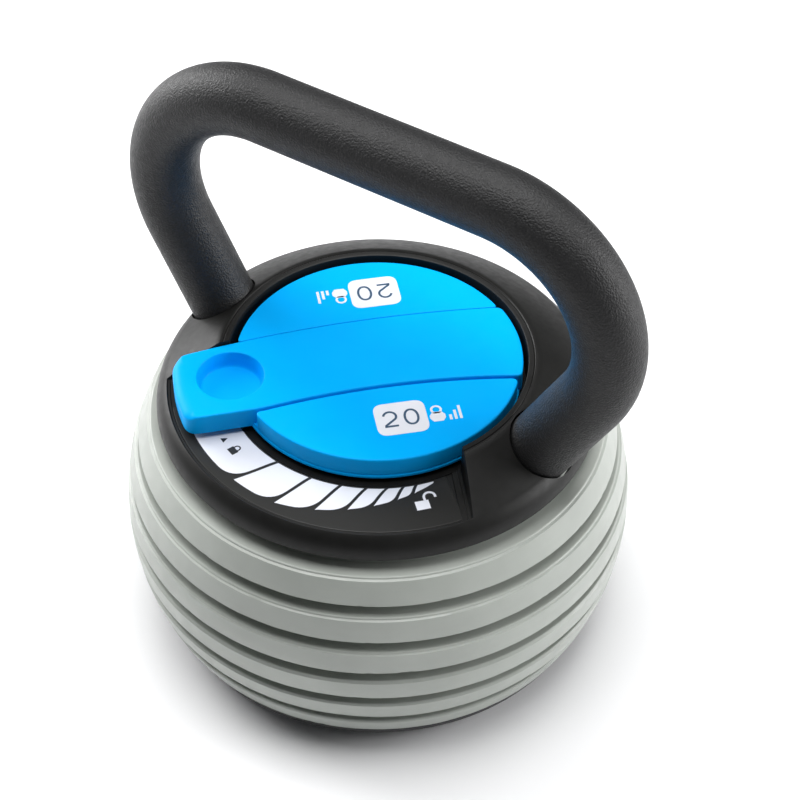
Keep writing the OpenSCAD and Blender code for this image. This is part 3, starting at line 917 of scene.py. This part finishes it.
def make_dial():
    lever = rotated(lever_outline(), LEVER_TURN)
    cx, cy = rotated([(DIMPLE_U, 0)], LEVER_TURN)[0]
    ring_count = 72

    def ring(r):
        """Points on a circle round the middle of the thumb dimple."""
        turns = [2 * math.pi * i / ring_count for i in range(ring_count)]
        return [(cx + r * math.cos(a), cy + r * math.sin(a)) for a in turns]


    def edge_at(x, y):
        """A soft edge, and a wide bevel across the lever's outer end."""
        reach = max(0.0, min(1.0, (math.hypot(x, y) - 78.5) / 2.5))
        return 0.7 + 3.8 * reach, 0.7 + 2.1 * reach

    verts, faces, loop = prism(lever, LEVER_BOTTOM, DIAL_TOP, edge_at=edge_at, low_edge=0.5,
                               steps=6, hole=ring(DIMPLE_RIM_R))
    bowl = [(13.66, -0.05), (13.5, -0.18), (13.4, -0.45), (12.6, -4.2)]
    bowl += [(12.2, -5.6), (12.0, -6.0), (11.7, -6.3), (11.0, -6.4)]
    previous = loop
    for r, dz in bowl:
        current = list(range(len(verts), len(verts) + ring_count))
        verts += [(x, y, DIAL_TOP + dz) for x, y in ring(r)]
        for i in range(ring_count):
            j = (i + 1) % ring_count
            faces.append([previous[j], previous[i], current[i], current[j]][::-1])
        previous = current
    faces.append(previous)
    add_piece("dial_lever", verts, faces, BLUE, "dial", ["dial_body"], 35)
    moons = ((-1, "half_moon_near", "dial_insert_near"), (1, "half_moon_far", "dial_insert_far"))
    for side, name, node in moons:
        soft = 0.7 if side < 0 else 0.3
        moon = rotated(moon_outline(side), LEVER_TURN)
        verts, faces, _ = prism(moon, DIAL_BOTTOM + 2.0, MOON_TOP, soft, low_edge=0.2)
        add_piece(name, verts, faces, BLUE, "dial", [node], 35)
    bottom, hub_low = DIAL_BOTTOM, FLOOR_Z - FLOOR_T
    carrier = [(12.6, hub_low), (22.6, hub_low), (23, hub_low + 0.4), (23, bottom)]
    carrier += [(57.2, bottom), (57.5, bottom + 0.3), (57.5, bottom + 1.2), (57.2, bottom + 1.5)]
    carrier += [(57.0, bottom + 1.7), (57.0, bottom + 2.4), (12.6, bottom + 2.4)]
    verts, faces = lathe(carrier, 256)
    add_piece("dial_carrier", verts, faces, BLUE, "dial", smooth=35)


def make_badges():
    """A white plate with the number 20 on each half-moon, and a small weight sign beside it."""
    for side, centre, name in ((1, (2.7, -35.4), "near"), (-1, (5.6, 38.2), "far")):
        def place(p, side=side, centre=centre):
            return rotated([(centre[0] + side * p[0], centre[1] + side * p[1])], LEVER_TURN)[0]

        z = MOON_TOP
        w, h = 10.2, 8.6
        plate = [(-w, -h), (w, -h), (w, h), (-w, h)]
        for corner in list(plate):
            plate = round_at(plate, corner, 4.2)
        ground = Print(z, place)
        ground.shape(plate, 0.06)
        ground.line([(14.2 + x, y) for x, y in SIGN_RING], 0.9, closed=True)
        ground.shape([(14.2 + x, y) for x, y in SIGN_WEIGHT])
        for i in range(3):
            x, top = 18.6 + 2.0 * i, -1.6 + 2.2 * i
            ground.shape([(x, -4.4), (x + 1.1, -4.4), (x + 1.1, top), (x, top)])
        ground.piece(f"badge_{name}", WHITE, "dial", "dial_blue")
        digits = Print(z + 0.05, place)
        digits.line(two_points((-4.3, 0)), 0.95)
        digits.line(zero_points((4.1, 0)), 0.95, closed=True)
        digits.piece(f"badge_number_{name}", DIGIT, "dial", "dial_blue")


SIGN_RING = arc(0, 2.0, 1.9, -60, 240, 14)
SIGN_WEIGHT = [(-1.9, -4.4), (1.9, -4.4), (3.1, -2.6), (3.1, -1.0),
               (1.9, 0.6), (-1.9, 0.6), (-3.1, -1.0), (-3.1, -2.6)]


def two_points(at):
    w, h, r = 2.7, 3.9, 2.5
    points = arc(0, h - r, r, 168, -38, 14) + [(-w + 0.4, -h + 0.5), (-w, -h), (w, -h)]
    return [(at[0] + x, at[1] + y) for x, y in points]


def zero_points(at):
    w, h = 2.6, 3.9
    angles = [2 * math.pi * i / 32 for i in range(32)]
    oval = [(w * math.cos(a) * abs(math.cos(a)) ** -0.12, h * math.sin(a)) if abs(math.cos(a)) > 0.01
            else (0, h * math.sin(a)) for a in angles]
    return [(at[0] + x, at[1] + y) for x, y in oval]


# ---------------------------------------------------------------- nodes that keep their CAD shape

def dress_nodes():
    """Materials of the CAD nodes that stay visible."""
    finishes = {
        "base_foot": RUBBER, "base_plate": IRON,
        "spindle": STEEL, "spindle_washer": STEEL, "spindle_bolt": STEEL,
        "handle_plugs": STEEL, "handle_screws": STEEL,
        "cap_plate": STEEL, "cap_screws": STEEL, "hub_bush": STEEL,
        "latch_spring": SPRING, "thrust_washer": ACETAL, "retaining_ring": SPRING, "dial_screws": STEEL,
    }
    for name, material in finishes.items():
        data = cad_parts[name].data
        data.materials.clear()
        data.materials.append(material)


# ---------------------------------------------------------------- stage, lights and camera

def make_floor():
    bpy.ops.mesh.primitive_plane_add(size=6)
    floor = bpy.context.active_object
    floor.name = "floor"
    m = Nodes("floor_paper", (0.9, 0.9, 0.91), 0.6)
    m.color(m.tint(m.noise(180, 2), (0.89, 0.89, 0.9), (0.91, 0.91, 0.92)))
    floor.data.materials.append(m.material)


def soft_light(name, location, target, size, watts, color=(1, 1, 1)):
    data = bpy.data.lights.new(name, "AREA")
    data.shape = "RECTANGLE"
    data.size, data.size_y = size
    data.energy = watts
    data.color = color
    light = bpy.data.objects.new(name, data)
    bpy.context.scene.collection.objects.link(light)
    light.location = location
    light.rotation_euler = (Vector(target) - Vector(location)).to_track_quat("-Z", "Y").to_euler()
    return light


def make_lights():
    world = bpy.data.worlds.new("studio")
    bpy.context.scene.world = world
    world.use_nodes = True
    background = world.node_tree.nodes["Background"]
    background.inputs["Color"].default_value = (0.95, 0.97, 1.0, 1)
    background.inputs["Strength"].default_value = 0.08
    aim = (0, 0, 0.12)
    soft_light("overhead", (-0.05, 0.1, 1.4), aim, (1.1, 1.1), 22)
    soft_light("right", (1.2, 0.75, 0.55), aim, (0.8, 0.8), 18)
    soft_light("left", (-1.25, 0.1, 0.6), aim, (0.8, 0.8), 20)
    bpy.context.scene.view_settings.view_transform = "Standard"


def make_camera():
    data = bpy.data.cameras.new("camera")
    data.lens = 100.05
    data.sensor_width = 36
    camera = bpy.data.objects.new("camera", data)
    bpy.context.scene.collection.objects.link(camera)
    location, aim = Vector((0.3517, -0.5373, 0.7461)), Vector((-0.0050, 0.0246, 0.0839))
    turn = (aim - location).to_track_quat("-Z", "Y").to_matrix()
    camera.location = location
    camera.rotation_euler = turn.to_euler()
    camera.rotation_euler.rotate_axis("Z", math.radians(0.35))
    bpy.context.scene.camera = camera


make_camera()
make_floor()
make_lights()
make_plates()
make_handle()
make_cap()
make_label()
make_dial()
make_badges()
dress_nodes()
